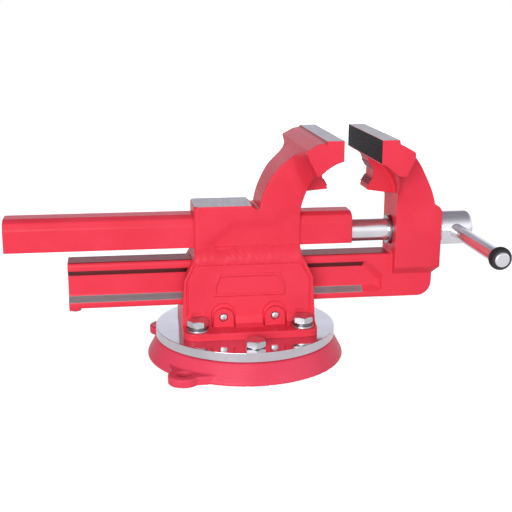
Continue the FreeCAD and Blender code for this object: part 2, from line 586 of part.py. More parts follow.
# --- Movable jaw: wings, body, spindle boss, pipe jaw and guide rail in one forging -------------
body_profile = extrude("body_profile", "XZ", [
    ("dim.body_in", "dim.chamfer_low"), ("dim.block_out", "dim.chamfer_low"),
    ("dim.boss_out", "dim.boss_low"), ("dim.boss_out", "dim.boss_top"), ("dim.boss_out - 2.6", "dim.boss_top + 4"),
    ("dim.body_back + 0.6", "146"), ("dim.body_back", "150"), ("dim.body_in", "150")],
    "2 * dim.neck_half")
body_front = extrude("body_front", "YZ", mirrored([
    ("dim.rail_half", "dim.chamfer_low"), ("dim.neck_half", "dim.boss_low"),
    ("dim.neck_half", "160")]), "600")
lower_block = soften(
    "lower_block", block("lower_blank", ("dim.body_in - 10", "dim.block_out"),
                         ("-dim.rail_half", "dim.rail_half"), ("dim.rail_low", "90")),
    "Fillet", "dim.block_round",
    lambda edge: abs(edge.CenterOfMass.x - size("dim.block_out")) < 1e-6
    and abs(edge.CenterOfMass.z - size("dim.rail_low")) < 1e-6)
rail_blank = extrude("rail_blank", "YZ", mirrored([
    ("dim.rail_half - 1", "dim.rail_low"), ("dim.rail_half", "dim.rail_low + 1"),
    ("dim.rail_half", "dim.rail_top - dim.rail_round"),
    ("dim.rail_half - dim.rail_round * 0.293", "dim.rail_top - dim.rail_round * 0.293"),
    ("dim.rail_half - dim.rail_round", "dim.rail_top")]),
    "dim.body_in + 1 - dim.rail_end", "dim.rail_end", False)
groove_depth = "(dim.rail_half - dim.rail_web)"
grooves = []
for side, sign in (("front", -1), ("rear", 1)):
    mouth = outline(f"groove_mouth_{side}", "XZ", [
        ("dim.rail_end - 20", "dim.groove_low"), ("dim.groove_end", "dim.groove_low"),
        ("dim.groove_end", "dim.groove_slope_z"), ("dim.groove_slope_x", "dim.groove_top"),
        ("dim.rail_end - 20", "dim.groove_top")], f"{sign} * dim.rail_half")
    floor = outline(f"groove_floor_{side}", "XZ", [
        ("dim.rail_end - 20", f"dim.groove_low + {groove_depth}"),
        (f"dim.groove_end - {groove_depth}", f"dim.groove_low + {groove_depth}"),
        (f"dim.groove_end - {groove_depth}", f"dim.groove_slope_z - {groove_depth} * 0.8"),
        (f"dim.groove_slope_x - {groove_depth} * 0.4", f"dim.groove_top - {groove_depth}"),
        ("dim.rail_end - 20", f"dim.groove_top - {groove_depth}")], f"{sign} * dim.rail_web")
    groove = doc.addObject("Part::Loft", f"groove_{side}")
    groove.Sections = [mouth, floor]
    groove.Solid = True
    groove.Ruled = True
    grooves.append(groove)
rail = cut("rail", rail_blank, *grooves)
movable_pipe = extrude("movable_pipe", "XZ", [
    ("dim.body_in + 5", "155.4"), ("131.9", "157.2"), ("114.4", "159.8"), ("115", "163.4"),
    ("119.8", "171.4"), ("120.2", "178.5"), ("115.2", "187"), ("dim.movable_face", "191.8"),
    ("dim.body_in + 5", "196")], "2 * dim.pipe_half")
rail_root = extrude("rail_root", "XZ", [
    ("dim.body_in - dim.rail_root", "dim.rail_top - 0.5"),
    ("dim.body_in - dim.rail_root", "dim.rail_top"),
    ("dim.body_in - dim.rail_root * 0.35", "dim.rail_top + dim.rail_root * 0.35"),
    ("dim.body_in", "dim.rail_top + dim.rail_root"), ("dim.body_in + 1", "dim.rail_top + 1"),
    ("dim.body_in + 1", "dim.rail_top - 0.5")], "2 * (dim.rail_half - dim.rail_round)")
movable_solid = fuse("movable_solid", movable_wings, common("body", body_profile, body_front),
                     lower_block, rail, rail_root, movable_pipe)
at_axis = ("-300", "0", "dim.axis_z")
piece("movable_jaw", cut(
    "movable_finished", movable_solid,
    rod("body_bore", "dim.shank + 0.6", at_axis, "600", "X"),
    rod("bush_seat", "dim.bush_radius", ("dim.body_in - 20", "0", "dim.axis_z"),
        "20 + dim.bush_length", "X"),
    rod("stop_screw_hole", "dim.stop_screw",
        ("dim.rail_end + dim.stop_length / 2", "0", "dim.stop_low"), "18")))
piece("spindle_bush", cut(
    "bush_finished",
    fuse("bush_solid",
         rod("bush_body", "dim.bush_radius", ("dim.body_in", "0", "dim.axis_z"),
             "dim.bush_length", "X"),
         rod("bush_rim", "dim.bush_flange", ("dim.body_in - dim.bush_lip", "0", "dim.axis_z"),
             "dim.bush_lip", "X")),
    rod("bush_bore", "dim.shank + dim.running_gap", at_axis, "600", "X")))

# --- Travel stop screwed under the rail's free end ----------------------------------------------
stop_block = extrude("stop_block", "XZ", [
    ("dim.rail_end", "dim.stop_low"), ("dim.rail_end + dim.stop_length - dim.stop_ramp",
                                       "dim.stop_low"),
    ("dim.rail_end + dim.stop_length", "dim.stop_low + dim.stop_ramp"),
    ("dim.rail_end + dim.stop_length", "dim.rail_low"), ("dim.rail_end", "dim.rail_low")],
    "2 * dim.stop_half")
stop_at = ("dim.rail_end + dim.stop_length / 2", "0")
piece("rail_stop", cut("rail_stop_finished", stop_block,
                       rod("rail_stop_hole", "dim.stop_screw", (*stop_at, "0"), "80")))
stop_head = "dim.stop_low - 2.6"
piece("rail_stop_screw", cut(
    "stop_screw_finished",
    fuse("stop_screw_solid",
         rod("stop_screw_shank", "dim.stop_screw", (*stop_at, "dim.stop_low"),
             "dim.rail_low + 12 - dim.stop_low"),
         rod("stop_screw_head", "5", (*stop_at, stop_head), "2.6")),
    rod("stop_screw_socket", "2.2", (*stop_at, f"{stop_head} - 1"), "2.6")))

# --- Spindle with its cross-drilled head, thrust washer and retaining ring ----------------------
shank = rod("shank_rod", "dim.shank", ("dim.thread_low_x", "0", "dim.axis_z"),
            "dim.head_low_x - dim.thread_low_x + 1", "X")
head_blank = rod("head_rod", "dim.head_radius", ("dim.head_low_x", "0", "dim.axis_z"),
                 "dim.head_high_x - dim.head_low_x", "X")
head = soften("head", head_blank, "Fillet", "2.2",
              lambda edge: abs(edge.CenterOfMass.x - size("dim.head_high_x")) < 1e-3
              or abs(edge.CenterOfMass.x - size("dim.head_low_x")) < 1e-3)
ring_low = "dim.body_in - dim.bush_lip - 0.3 - dim.ring_width"
ring_groove = cut(
    "ring_groove",
    rod("ring_groove_outer", "dim.shank + 5", (ring_low, "0", "dim.axis_z"), "dim.ring_width",
        "X"),
    rod("ring_groove_core", "dim.ring_groove", (ring_low, "0", "dim.axis_z"),
        "dim.ring_width", "X"))
piece("spindle", cut(
    "spindle_finished", fuse("spindle_solid", shank, head), ring_groove,
    rod("handle_hole_tool", "dim.handle_hole", ("dim.handle_x", "-60", "dim.axis_z"), "120",
        "Y")))
piece("retaining_ring", cut(
    "retaining_ring_finished",
    rod("ring_outer", "dim.ring_radius", (ring_low, "0", "dim.axis_z"), "dim.ring_width", "X"),
    rod("ring_inner", "dim.ring_groove", ("0", "0", "dim.axis_z"), "300", "X")))
piece("thrust_washer", cut(
    "thrust_washer_finished",
    rod("thrust_outer", "dim.washer_radius", ("dim.head_low_x - dim.washer_width", "0",
                                              "dim.axis_z"), "dim.washer_width", "X"),
    rod("thrust_inner", "dim.shank", ("0", "0", "dim.axis_z"), "300", "X")))

# --- Handle bar, free to slide through the head, with a rubber ring on each end -----------------
piece("handle_bar", soften(
    "bar", rod("bar_rod", "dim.bar_radius",
               ("dim.handle_x", "dim.bar_mid_y - dim.bar_half", "dim.axis_z"),
               "2 * dim.bar_half", "Y"),
    "Chamfer", "1", lambda edge: True if edge.Closed else False))
for side, start in (
        ("front", "dim.bar_mid_y - dim.bar_half + dim.grip_inset"),
        ("rear", "dim.bar_mid_y + dim.bar_half - dim.grip_inset - dim.grip_length")):
    piece(f"handle_ring_{side}", cut(
        f"grip_{side}",
        rod(f"grip_outer_{side}", "dim.grip_radius", ("dim.handle_x", start, "dim.axis_z"),
            "dim.grip_length", "Y"),
        rod(f"grip_inner_{side}", "dim.bar_radius", ("dim.handle_x", "-200", "dim.axis_z"),
            "400", "Y")))

doc.recompute()
failed = [obj.Name for obj in doc.Objects if {"Invalid", "Error"} & set(obj.State)]
if failed:
    raise RuntimeError(f"objects that did not compute: {failed}")
for label, obj in pieces.items():
    if obj.Shape.isNull() or not obj.Shape.isValid():
        raise RuntimeError(f"{label} has no valid shape")
    if len(obj.Shape.Solids) != 1:
        raise RuntimeError(f"{label} has {len(obj.Shape.Solids)} solids")

os.makedirs("parts", exist_ok=True)
for label, obj in pieces.items():
    obj.Shape.exportStep(f"parts/{label}.step")
print(f"{len(pieces)} pieces written")
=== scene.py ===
"""Bench vise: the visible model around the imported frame."""
import math

import bmesh
import bpy
import numpy as np
from mathutils import Matrix, Vector


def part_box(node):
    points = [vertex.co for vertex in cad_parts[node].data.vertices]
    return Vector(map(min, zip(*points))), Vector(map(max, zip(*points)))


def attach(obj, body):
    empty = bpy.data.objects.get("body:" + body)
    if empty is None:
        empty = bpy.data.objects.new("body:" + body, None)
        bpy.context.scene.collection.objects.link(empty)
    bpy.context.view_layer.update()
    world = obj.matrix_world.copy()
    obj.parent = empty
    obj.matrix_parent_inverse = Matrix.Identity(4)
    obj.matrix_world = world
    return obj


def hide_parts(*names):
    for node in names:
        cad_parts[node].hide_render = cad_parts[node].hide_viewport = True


MM = 0.001
FRONT, REAR = -1, 1

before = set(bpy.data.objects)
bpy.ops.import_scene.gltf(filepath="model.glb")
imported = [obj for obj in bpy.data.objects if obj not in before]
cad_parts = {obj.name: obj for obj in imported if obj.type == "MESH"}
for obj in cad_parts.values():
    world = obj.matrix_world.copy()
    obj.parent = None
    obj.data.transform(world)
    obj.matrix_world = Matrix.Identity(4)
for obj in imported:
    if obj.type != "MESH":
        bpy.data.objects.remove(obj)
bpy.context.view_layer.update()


# --- Camera --------------------------------------------------------------------------------------
AZIMUTH = math.radians(-8.71)
ELEVATION = math.radians(14.66)
ROLL = math.radians(0.29)
CAMERA_PLACE = Vector((-0.122, -0.870, 0.3253))
CAMERA_LENS = 66.5
CAMERA_SENSOR = 36
CAMERA_SHIFT = -0.0016
CAMERA_NEAR = 0.01


def make_camera():
    back = Vector((math.sin(AZIMUTH) * math.cos(ELEVATION),
                   -math.cos(AZIMUTH) * math.cos(ELEVATION), math.sin(ELEVATION)))
    level = Vector((math.cos(AZIMUTH), math.sin(AZIMUTH), 0))
    upward = back.cross(level)
    right = level * math.cos(ROLL) + upward * math.sin(ROLL)
    up = back.cross(right)
    data = bpy.data.cameras.new("camera")
    data.lens = CAMERA_LENS
    data.sensor_width = CAMERA_SENSOR
    data.shift_x = CAMERA_SHIFT
    data.clip_start = CAMERA_NEAR
    camera = bpy.data.objects.new("camera", data)
    bpy.context.scene.collection.objects.link(camera)
    turn = Matrix((right, up, back)).transposed().to_4x4()
    camera.matrix_world = Matrix.Translation(CAMERA_PLACE) @ turn
    bpy.context.scene.camera = camera


# --- Studio --------------------------------------------------------------------------------------
WHITE = (1.0, 1.0, 1.0)
SKY_LOW, SKY_HIGH = (0.50, 0.50, 0.53), (0.15, 0.14, 0.17)
FLOOR_RADIUS = 8
FLOOR_SEEN, FLOOR_MIRRORED = 0.80, 0.42


def make_world():
    """White to the camera; to everything else a studio with a darker ceiling and left side."""
    world = bpy.data.worlds.new("studio")
    bpy.context.scene.world = world
    world.use_nodes = True
    nodes, links = world.node_tree.nodes, world.node_tree.links
    nodes.clear()
    coords = nodes.new("ShaderNodeTexCoord")
    split = nodes.new("ShaderNodeSeparateXYZ")
    links.new(coords.outputs["Generated"], split.inputs[0])

    def along(axis, low, high, to_low=0.0, to_high=1.0):
        """One component of the direction, mapped to a new range."""
        node = nodes.new("ShaderNodeMapRange")
        for socket, value in (("From Min", low), ("From Max", high), ("To Min", to_low),
                              ("To Max", to_high)):
            node.inputs[socket].default_value = value
        links.new(split.outputs[axis], node.inputs["Value"])
        return node.outputs[0]

    def gradient(height, *stops):
        """Colours from the floor (0) over the horizon (0.5) to the ceiling (1)."""
        ramp = nodes.new("ShaderNodeValToRGB")
        elements = ramp.color_ramp.elements
        for element, (place, color) in zip(elements, (stops[0], stops[-1])):
            element.position, element.color = place, (*color, 1)
        for place, color in stops[1:-1]:
            elements.new(place).color = (*color, 1)
        links.new(height, ramp.inputs[0])
        return ramp.outputs[0]

    height = along("Z", -1, 1)
    front = gradient(height, (0.0, SKY_LOW), (0.5, (0.95, 0.95, 0.97)), (0.73, WHITE),
                     (0.85, SKY_LOW), (1.0, SKY_HIGH))
    behind = gradient(height, (0.0, SKY_LOW), (0.5, (0.86, 0.86, 0.94)),
                      (0.65, (0.84, 0.84, 0.92)), (0.72, (0.22, 0.21, 0.26)), (1.0, SKY_HIGH))
    around = nodes.new("ShaderNodeMix")
    around.data_type = "RGBA"
    links.new(along("Y", -0.5, 0.5), around.inputs["Factor"])
    links.new(front, around.inputs[6])
    links.new(behind, around.inputs[7])
    lit = nodes.new("ShaderNodeBackground")
    links.new(around.outputs[2], lit.inputs["Color"])
    links.new(along("X", -0.40, -0.10, 0.35, 1.18), lit.inputs["Strength"])
    plain = nodes.new("ShaderNodeBackground")
    plain.inputs["Color"].default_value = (*WHITE, 1)
    mix = nodes.new("ShaderNodeMixShader")
    links.new(nodes.new("ShaderNodeLightPath").outputs["Is Camera Ray"], mix.inputs[0])
    links.new(lit.outputs[0], mix.inputs[1])
    links.new(plain.outputs[0], mix.inputs[2])
    links.new(mix.outputs[0], nodes.new("ShaderNodeOutputWorld").inputs[0])


def make_lamps():
    """Three area lamps aimed at the vise; the rear one lights its back and isn't mirrored."""
    middle = Vector((0, 0, 0.11))
    for name, place, width, height, power, tint in (
            ("key", (-0.9, -1.9, 0.55), 1.5, 1.1, 33.5, (1, 0.985, 0.97)),
            ("top", (-0.2, 0.3, 1.6), 1.4, 1.0, 2, (0.95, 0.95, 1)),
            ("rear", (0.5, 1.9, 0.35), 1.5, 0.9, 13, WHITE)):
        light = bpy.data.lights.new(name, "AREA")
        light.shape = "RECTANGLE"
        light.size = width
        light.size_y = height
        light.energy = power
        light.color = tint
        lamp = bpy.data.objects.new(name, light)
        lamp.location = place
        lamp.visible_glossy = name != "rear"
        lamp.rotation_euler = (middle - Vector(place)).to_track_quat("-Z", "Y").to_euler()
        bpy.context.scene.collection.objects.link(lamp)


def make_floor():
    """A pale floor that glows for the camera, and less so in the bright pieces."""
    bm = bmesh.new()
    bmesh.ops.create_circle(bm, cap_ends=True, segments=64, radius=FLOOR_RADIUS)
    mesh = bpy.data.meshes.new("floor")
    bm.to_mesh(mesh)
    bm.free()
    floor = bpy.data.objects.new("floor", mesh)
    bpy.context.scene.collection.objects.link(floor)
    material = bpy.data.materials.new("floor_white")
    material.use_nodes = True
    tree = material.node_tree
    shader = tree.nodes["Principled BSDF"]
    shader.inputs["Base Color"].default_value = (0.55, 0.55, 0.57, 1)
    shader.inputs["Roughness"].default_value = 0.7
    shader.inputs["Specular IOR Level"].default_value = 0.1
    shader.inputs["Emission Color"].default_value = (*WHITE, 1)
    seen = tree.nodes.new("ShaderNodeLightPath")
    glow = tree.nodes.new("ShaderNodeMath")
    glow.operation = "MULTIPLY_ADD"
    mirrored = tree.nodes.new("ShaderNodeMath")
    mirrored.operation = "MULTIPLY"
    mirrored.inputs[1].default_value = FLOOR_MIRRORED
    glow.inputs[1].default_value = FLOOR_SEEN
    tree.links.new(seen.outputs["Is Glossy Ray"], mirrored.inputs[0])
    tree.links.new(seen.outputs["Is Camera Ray"], glow.inputs[0])
    tree.links.new(mirrored.outputs[0], glow.inputs[2])
    tree.links.new(glow.outputs[0], shader.inputs["Emission Strength"])
    floor.data.materials.append(material)


bpy.context.scene.view_settings.view_transform = "Standard"
make_camera()
make_world()
make_lamps()
make_floor()


# --- Materials -----------------------------------------------------------------------------------
class Nodes:
    """A short way to build one material's node tree."""

    SOCKETS = {"color": "Base Color", "metallic": "Metallic", "rough": "Roughness",
               "coat": "Coat Weight", "coat_rough": "Coat Roughness",
               "specular": "Specular IOR Level", "ior": "IOR"}

    def __init__(self, name):
        self.material = bpy.data.materials.new(name)
        self.material.use_nodes = True
        self.tree = self.material.node_tree
        self.shader = self.tree.nodes["Principled BSDF"]
        self.coords = self.tree.nodes.new("ShaderNodeTexCoord").outputs["Object"]

    def add(self, kind, **settings):
        node = self.tree.nodes.new(f"ShaderNode{kind}")
        for key, value in settings.items():
            setattr(node, key, value)
        return node

    def put(self, socket, value):
        if isinstance(value, bpy.types.NodeSocket):
            self.tree.links.new(value, socket)
        else:
            socket.default_value = value

    def noise(self, scale, detail=3, rough=0.5, stretch=None):
        node = self.add("TexNoise")
        source = self.coords
        if stretch:
            mapping = self.add("Mapping")
            self.put(mapping.inputs["Vector"], source)
            mapping.inputs["Scale"].default_value = stretch
            source = mapping.outputs[0]
        self.put(node.inputs["Vector"], source)
        node.inputs["Scale"].default_value = scale
        node.inputs["Detail"].default_value = detail
        node.inputs["Roughness"].default_value = rough
        return node.outputs["Fac"]

    def math(self, operation, a, b=0.0):
        node = self.add("Math", operation=operation)
        self.put(node.inputs[0], a)
        self.put(node.inputs[1], b)
        return node.outputs[0]

    def ramp(self, value, low, high, to_low=0.0, to_high=1.0):
        """The value mapped from low..high to to_low..to_high, clamped at both ends."""
        node = self.add("MapRange", clamp=True)
        self.put(node.inputs["Value"], value)
        node.inputs["From Min"].default_value = low
        node.inputs["From Max"].default_value = high
        node.inputs["To Min"].default_value = to_low
        node.inputs["To Max"].default_value = to_high
        return node.outputs[0]

    def mix(self, share, first, second):
        node = self.add("Mix", data_type="RGBA")
        self.put(node.inputs["Factor"], share)
        self.put(node.inputs[6], first)
        self.put(node.inputs[7], second)
        return node.outputs[2]

    def blend(self, share, first, second):
        node = self.add("Mix", data_type="FLOAT")
        self.put(node.inputs["Factor"], share)
        self.put(node.inputs[2], first)
        self.put(node.inputs[3], second)
        return node.outputs[0]

    def bump(self, height, strength, distance):
        node = self.add("Bump")
        self.put(node.inputs["Height"], height)
        node.inputs["Strength"].default_value = strength
        node.inputs["Distance"].default_value = distance
        self.put(self.shader.inputs["Normal"], node.outputs[0])

    def place(self):
        """Components of the point's own place, in the object's frame."""
        split = self.add("SeparateXYZ")
        self.put(split.inputs[0], self.coords)
        return split.outputs

    def facing(self):
        """Components of the surface's own normal, in the object's frame."""
        turn = self.add("VectorTransform", vector_type="NORMAL", convert_from="WORLD",
                        convert_to="OBJECT")
        self.put(turn.inputs[0], self.add("NewGeometry").outputs["Normal"])
        split = self.add("SeparateXYZ")
        self.put(split.inputs[0], turn.outputs[0])
        return split.outputs

    def window(self, value, low, high, edge=0.2 * MM):
        """1 between low and high, with a narrow edge."""
        return self.math("MULTIPLY", self.ramp(value, low - edge, low + edge),
                         self.ramp(value, high - edge, high + edge, 1.0, 0.0))

    def set(self, **values):
        for key, value in values.items():
            self.put(self.shader.inputs[self.SOCKETS[key]], value)


RED = (0.80, 0.046, 0.081, 1)
RED_DEEP = (0.66, 0.018, 0.038, 1)
CAST_RED = (0.80, 0.066, 0.126, 1)
CAST_RED_DEEP = (0.62, 0.026, 0.055, 1)
STEEL_DARK = (0.10, 0.095, 0.095, 1)
# Colour of painted shade: under the anvil's edge, along the strip's step, on the rail's top and in
# the teeth's roots.
SHADE_RED = (0.16, 0.010, 0.018, 1)
TOOTH_RED = (0.42, 0.060, 0.090, 1)
TOOTH_DARK = (0.30, 0.040, 0.060, 1)
GROUND = (0.60, 0.58, 0.60, 1)
GROUND_DARK = (0.44, 0.42, 0.43, 1)
# Painted shade on ground steel that faces downward.
STEEL_IN_SHADE = (0.11, 0.060, 0.055, 1)


def enamel(name, grain, depth, bare=None, colors=(RED, RED_DEEP), grit=0.15 * MM, painted_shade=None):
    """Glossy enamel with a cast grain over a forging or casting.

    bare returns a mask of ground steel without paint; the shade mask returns one of painted shade
    on the paint.
    """
    n = Nodes(name)
    cloud = n.noise(18, 3)
    speck = n.noise(420, 2)
    edge = n.add("NewGeometry").outputs["Pointiness"]
    chip = n.math("MULTIPLY", n.ramp(edge, 0.64, 0.72), n.ramp(n.noise(260, 4, 0.7), 0.66, 0.70))
    paint = n.mix(n.ramp(cloud, 0.40, 0.75, 0.0, 0.45), colors[0], colors[1])
    # Painted shade: the paint turns towards its deeper colour in creases and hollows.
    paint = n.mix(n.ramp(edge, 0.40, 0.47, 0.35, 0.0), paint, colors[1])
    paint = n.mix(n.math("MULTIPLY", chip, 0.25), paint, STEEL_DARK)
    # Painted shade over the paint, where its mask says.
    if painted_shade is not None:
        paint = n.mix(painted_shade(n), paint, SHADE_RED)
    rough = n.ramp(speck, 0.3, 0.7, 0.27, 0.37)
    height = n.math("ADD", n.noise(grain, 3, 0.55),
                    n.math("MULTIPLY", n.noise(grain * 5, 2), 0.25))
    if bare is None:
        n.set(color=paint, rough=rough)
    else:
        mask = bare(n)
        lay = n.noise(60, 4, 0.6, stretch=(1.0, 14.0, 14.0))
        scratch = n.noise(900, 2, 0.5, stretch=(1.0, 0.04, 1.0))
        steel = n.mix(n.ramp(lay, 0.3, 0.7), GROUND, GROUND_DARK)
        # Painted shade: ground steel that faces downward turns dark brown.
        steel = n.mix(n.ramp(n.facing()[2], -0.5, -0.1, 1, 0), steel, STEEL_IN_SHADE)
        n.set(color=n.mix(mask, paint, steel), metallic=n.math("MULTIPLY", mask, 0.92),
              rough=n.blend(mask, rough, n.ramp(scratch, 0.3, 0.7, 0.30, 0.44)))
        height = n.blend(mask, height, n.math("MULTIPLY", scratch, 0.3))
    n.bump(height, depth, grit)
    n.set(coat=0.04, coat_rough=0.2, specular=0.4, ior=1.25)
    return n.material


def steel(name, color, rough, metallic=1.0, fine=700, stretch=(1, 1, 1), depth=0.15,
          spread=0.06):
    """Machined, plated or blackened metal, and rubber: a streaked face with darker worn blots."""
    n = Nodes(name)
    streak = n.noise(fine, 3, 0.6, stretch=stretch)
    blot = n.noise(25, 3)
    wear = n.ramp(n.noise(140, 4, 0.65), 0.60, 0.72, 0.0, 0.5)
    dark = tuple(c * 0.80 for c in color[:3]) + (1,)
    shade = n.mix(n.ramp(blot, 0.35, 0.75, 0.0, 0.8), color, dark)
    n.set(color=n.mix(wear, shade, dark), metallic=metallic,
          rough=n.ramp(streak, 0.25, 0.75, rough - spread, rough + spread))
    n.bump(streak, depth, 0.05 * MM)
    return n.material


# --- Mesh helpers --------------------------------------------------------------------------------
def new_object(name, mesh):
    obj = bpy.data.objects.new(name, mesh)
    bpy.context.scene.collection.objects.link(obj)
    return obj


def from_bmesh(name, bm, angle=35):
    bmesh.ops.recalc_face_normals(bm, faces=bm.faces)
    mesh = bpy.data.meshes.new(name)
    bm.to_mesh(mesh)
    bm.free()
    return smooth(new_object(name, mesh), angle)


def apply_modifiers(obj):
    graph = bpy.context.evaluated_depsgraph_get()
    mesh = bpy.data.meshes.new_from_object(obj.evaluated_get(graph))
    obj.modifiers.clear()
    old = obj.data
    obj.data = mesh
    bpy.data.meshes.remove(old)


def finish_piece(obj, body, material, slot, *nodes):
    obj.data.materials.clear()
    obj.data.materials.append(material)
    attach(obj, body)
    if nodes:
        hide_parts(*nodes)


def smooth(obj, angle=None):
    obj.data.polygons.foreach_set("use_smooth", [True] * len(obj.data.polygons))
    if angle is not None:
        obj.data.set_sharp_from_angle(angle=math.radians(angle))
    return obj


def get_points(obj):
    points = np.empty(len(obj.data.vertices) * 3)
    obj.data.vertices.foreach_get("co", points)
    return points.reshape(-1, 3)


def set_points(obj, points):
    obj.data.vertices.foreach_set("co", points.ravel())
    obj.data.update()


def forged(node, name, voxel, rounds, keep=1.0):
    """The CAD solid with its edges rounded off, as a forging or casting has them."""
    obj = new_object(name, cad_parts[node].data.copy())
    remesh = obj.modifiers.new("remesh", "REMESH")
    remesh.mode = "VOXEL"
    remesh.voxel_size = voxel
    soften = obj.modifiers.new("soften", "SMOOTH")
    soften.factor = 0.5
    soften.iterations = rounds
    if keep < 1:
        thin = obj.modifiers.new("thin", "DECIMATE")
        thin.ratio = keep
    apply_modifiers(obj)
    return smooth(obj)


def grind(obj, axis, plane, depth, low=(-1, -1, -1), high=(1, 1, 1)):
    """Bring every point within depth of a machined plane onto it."""
    points = get_points(obj)
    near = np.abs(points[:, axis] - plane) < depth
    near &= (points >= low).all(axis=1) & (points <= high).all(axis=1)
    points[near, axis] = plane
    set_points(obj, points)


def lathe(name, profile, start, direction, segments=96, angle=35):
    """Turned piece: profile is (distance along, radius) pairs, each radius a number or a rule."""
    axis = Vector(direction).normalized()
    side = axis.orthogonal().normalized()
    other = axis.cross(side)
    bm = bmesh.new()
    rings = []
    for along, radius in profile:
        centre = Vector(start) + axis * along
        if not callable(radius) and radius < 1e-7:
            rings.append([bm.verts.new(centre)])
            continue
        ring = []
        for i in range(segments):
            turn = 2 * math.pi * i / segments
            reach = radius(turn) if callable(radius) else radius
            ring.append(bm.verts.new(centre + side * (reach * math.cos(turn))
                                     + other * (reach * math.sin(turn))))
        rings.append(ring)
    pairs = list(zip(rings, rings[1:]))
    if len(rings[0]) > 1 and len(rings[-1]) > 1:
        pairs.append((rings[-1], rings[0]))
    for low, high in pairs:
        for i in range(segments):
            j = (i + 1) % segments
            if len(low) == 1:
                bm.faces.new((low[0], high[j], high[i]))
            elif len(high) == 1:
                bm.faces.new((low[i], low[j], high[0]))
            else:
                bm.faces.new((low[i], low[j], high[j], high[i]))
    return from_bmesh(name, bm, angle)


# How far beyond a rounded corner its support lines lie, as a multiple of the corner's size.
SUPPORT = 1.1


def rounded(points, radius, steps=3):
    """A profile with each inner corner turned into a short arc, and a line close to both ends of
    the arc that keeps the flats beside it flat."""
    out = [points[0]]
    for before, here, after in zip(points, points[1:], points[2:]):
        a, b, c = Vector(before), Vector(here), Vector(after)
        cut = min(radius, (a - b).length * 0.45, (c - b).length * 0.45)
        first = b + (a - b).normalized() * cut
        last = b + (c - b).normalized() * cut
        out.append(tuple(b + (a - b).normalized() * cut * SUPPORT))
        for i in range(steps + 1):
            t = i / steps
            out.append(tuple((1 - t) ** 2 * first + 2 * t * (1 - t) * b + t * t * last))
        out.append(tuple(b + (c - b).normalized() * cut * SUPPORT))
    out.append(points[-1])
    return out


def prism(name, outline, place, low, high):
    """Solid between two levels over an outline; place turns (u, v, level) into a point."""
    bm = bmesh.new()
    near = [bm.verts.new(place(u, v, low)) for u, v in outline]
    far = [bm.verts.new(place(u, v, high)) for u, v in outline]
    bm.faces.new(near)
    bm.faces.new(list(reversed(far)))
    for i in range(len(outline)):
        j = (i + 1) % len(outline)
        bm.faces.new((near[i], far[i], far[j], near[j]))
    return from_bmesh(name, bm, 30)


def stitch(bm, rings):
    """Faces between consecutive rings that have the same number of points."""
    for lower, upper in zip(rings, rings[1:]):
        for i in range(len(lower)):
            j = (i + 1) % len(lower)
            bm.faces.new((lower[i], lower[j], upper[j], upper[i]))


def mirrored(half, length, *middle):
    """A profile whose second half mirrors its first."""
    return half + list(middle) + [(length - along, r) for along, r in reversed(half)]


def join(name, *objects):
    """One object from several meshes."""
    bm = bmesh.new()
    for obj in objects:
        bm.from_mesh(obj.data)
        bpy.data.meshes.remove(obj.data)
    return from_bmesh(name, bm)


def bore_out(obj, tool):
    """Take the tool's solid out of the object."""
    modifier = obj.modifiers.new("bore", "BOOLEAN")
    modifier.operation = "DIFFERENCE"
    modifier.object = tool
    modifier.solver = "EXACT"
    apply_modifiers(obj)
    bpy.data.meshes.remove(tool.data)
    return smooth(obj, 35)


def span(node):
    """Low corner, high corner and middle of a node's box."""
    low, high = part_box(node)
    return low, high, (low + high) / 2


# --- Forged and cast pieces ----------------------------------------------------------------------
fixed_high = span("fixed_jaw")[1]
jaw_top = fixed_high.z
fixed_face = fixed_high.x
JAW_OPENING = 34 * MM
movable_face = fixed_face + JAW_OPENING
STRIP_DEPTH = 16 * MM
ANVIL_TOP = 148.8 * MM
ANVIL_END = 3.0 * MM
GROOVE_LOW, GROOVE_HIGH = 58.5 * MM, 90.5 * MM
GROOVE_BARE_END = 113.2 * MM
RAIL_HALF = 14.6 * MM
RAIL_TOP = 97.2 * MM
# Where the painted shade on the rail's top stops.
RAIL_SHADED_END = 136 * MM
# A mask's soft edge, and how far the knurled faces stand in front of the forgings behind them.
FLAT = 0.35 * MM
TOOTH_DEPTH = 0.25 * MM
# How near a remeshed point lies to the machined plane that it belongs to.
TOP_REACH, FACE_REACH, ANVIL_REACH = 1.0 * MM, 1.3 * MM, 0.7 * MM
FACE_LOW = 190 * MM


def jaw_strip_mask(n, x, z, nz, face, side):
    """The ground strip along a jaw's top, back from its gripping face."""
    back = face - side * STRIP_DEPTH
    low, high = sorted((back, face))
    return n.math("MULTIPLY", n.window(x, low, high + MM),
                  n.math("MULTIPLY", n.ramp(z, jaw_top - 2 * FLAT, jaw_top - FLAT),
                         n.ramp(nz, 0.6, 0.85)))


def fixed_bare(n):
    """Ground steel of the fixed jaw: its strip and the anvil."""
    x, _, z = n.place()
    nz = n.facing()[2]
    strip = jaw_strip_mask(n, x, z, nz, fixed_face, 1)
    anvil = n.math("MULTIPLY", n.window(z, ANVIL_TOP - FLAT, ANVIL_TOP + FLAT),
                   n.math("MULTIPLY", n.ramp(nz, 0.75, 0.95),
                          n.ramp(x, ANVIL_END, ANVIL_END + FLAT, 1, 0)))
    return n.math("MAXIMUM", strip, anvil)


def movable_bare(n):
    """Ground steel of the movable jaw: its strip and the walls of the rail's grooves."""
    x, y, z = n.place()
    nz = n.facing()[2]
    strip = jaw_strip_mask(n, x, z, nz, movable_face, -1)
    walls = n.math("MULTIPLY", n.ramp(x, GROOVE_BARE_END, GROOVE_BARE_END + FLAT, 1, 0),
                   n.ramp(n.math("ABSOLUTE", nz), 0.45, 0.6))
    rows = n.math("MULTIPLY", n.window(z, GROOVE_LOW, GROOVE_HIGH),
                  n.ramp(n.math("ABSOLUTE", y), RAIL_HALF, RAIL_HALF + FLAT, 1, 0))
    return n.math("MAXIMUM", strip, n.math("MULTIPLY", walls, rows))


